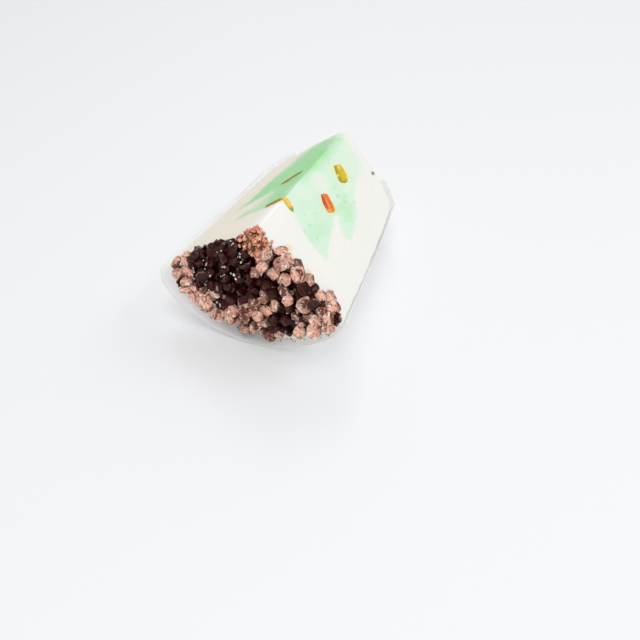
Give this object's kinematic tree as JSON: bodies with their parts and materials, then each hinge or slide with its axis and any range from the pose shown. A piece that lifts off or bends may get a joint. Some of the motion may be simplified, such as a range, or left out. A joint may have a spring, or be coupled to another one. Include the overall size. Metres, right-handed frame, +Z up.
{
  "type": "spumoni",
  "caption": "Wedge of frozen spumoni, cream ice with a pistachio filling, candied fruit and a heap of chocolate drops on its wide end, on its paper liner.",
  "frame": {"origin": "middle of the underside, on the surface the wedge lies on", "axes": "+Z up; the ridge runs along +Y from the wide end with the chocolate at -Y down to the narrow end; +X to the right seen from the chocolate end"},
  "size_m": [0.0768, 0.0994, 0.0489],
  "materials": {
    "cream_ice": "smooth frozen cream, slightly moist",
    "pistachio_ice": "smooth pale green ice with fine darker flecks",
    "chocolate": "dark glossy drops among frosted pinkish brown ones",
    "candied_orange": "translucent syrupy fruit",
    "candied_citron": "translucent syrupy fruit",
    "candied_peel": "syrupy peel, yellow to olive brown",
    "dark_peel": "syrupy brown peel",
    "paper_liner": "thin white greaseproof paper"
  },
  "bodies": {
    "root": {"Cream_Ice": "cream_ice", "Pistachio_Filling": "pistachio_ice", "Chocolate_Heap": "chocolate", "Candied_Orange": "candied_orange", "Candied_Citron": "candied_citron", "Ridge_Peel": "candied_peel", "Left_Sliver": "dark_peel", "Paper_Liner": "paper_liner"}
  },
  "joints": []
}
